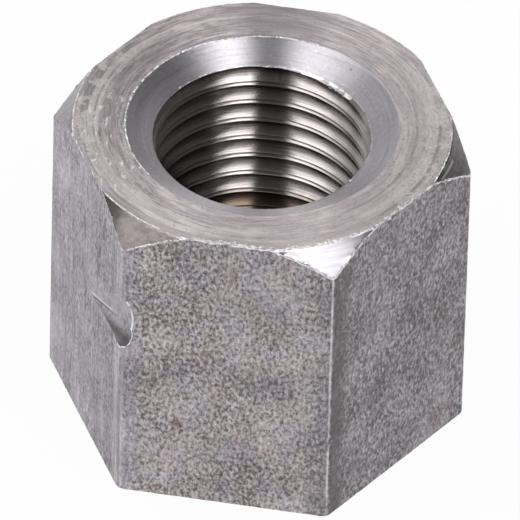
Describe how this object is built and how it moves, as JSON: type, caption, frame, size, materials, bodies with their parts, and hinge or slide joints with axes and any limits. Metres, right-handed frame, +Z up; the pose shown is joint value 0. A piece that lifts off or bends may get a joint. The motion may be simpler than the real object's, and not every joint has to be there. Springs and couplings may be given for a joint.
{
  "type": "flywheel nut",
  "caption": "Tall steel hexagon nut with a fine through thread, a countersunk turned face and chamfered corners.",
  "frame": {"origin": "middle of the seating face, on the thread's axis", "axes": "+Z up the thread from the seating face to the countersunk turned face, +X towards a corner, +Y square to a flat"},
  "size_m": [0.0254, 0.0222, 0.0206],
  "materials": {
    "steel": "bare machined and drawn steel, dull, with fine dark pitting on the flats"
  },
  "bodies": {
    "root": {"flywheel_nut": "steel"}
  },
  "joints": []
}
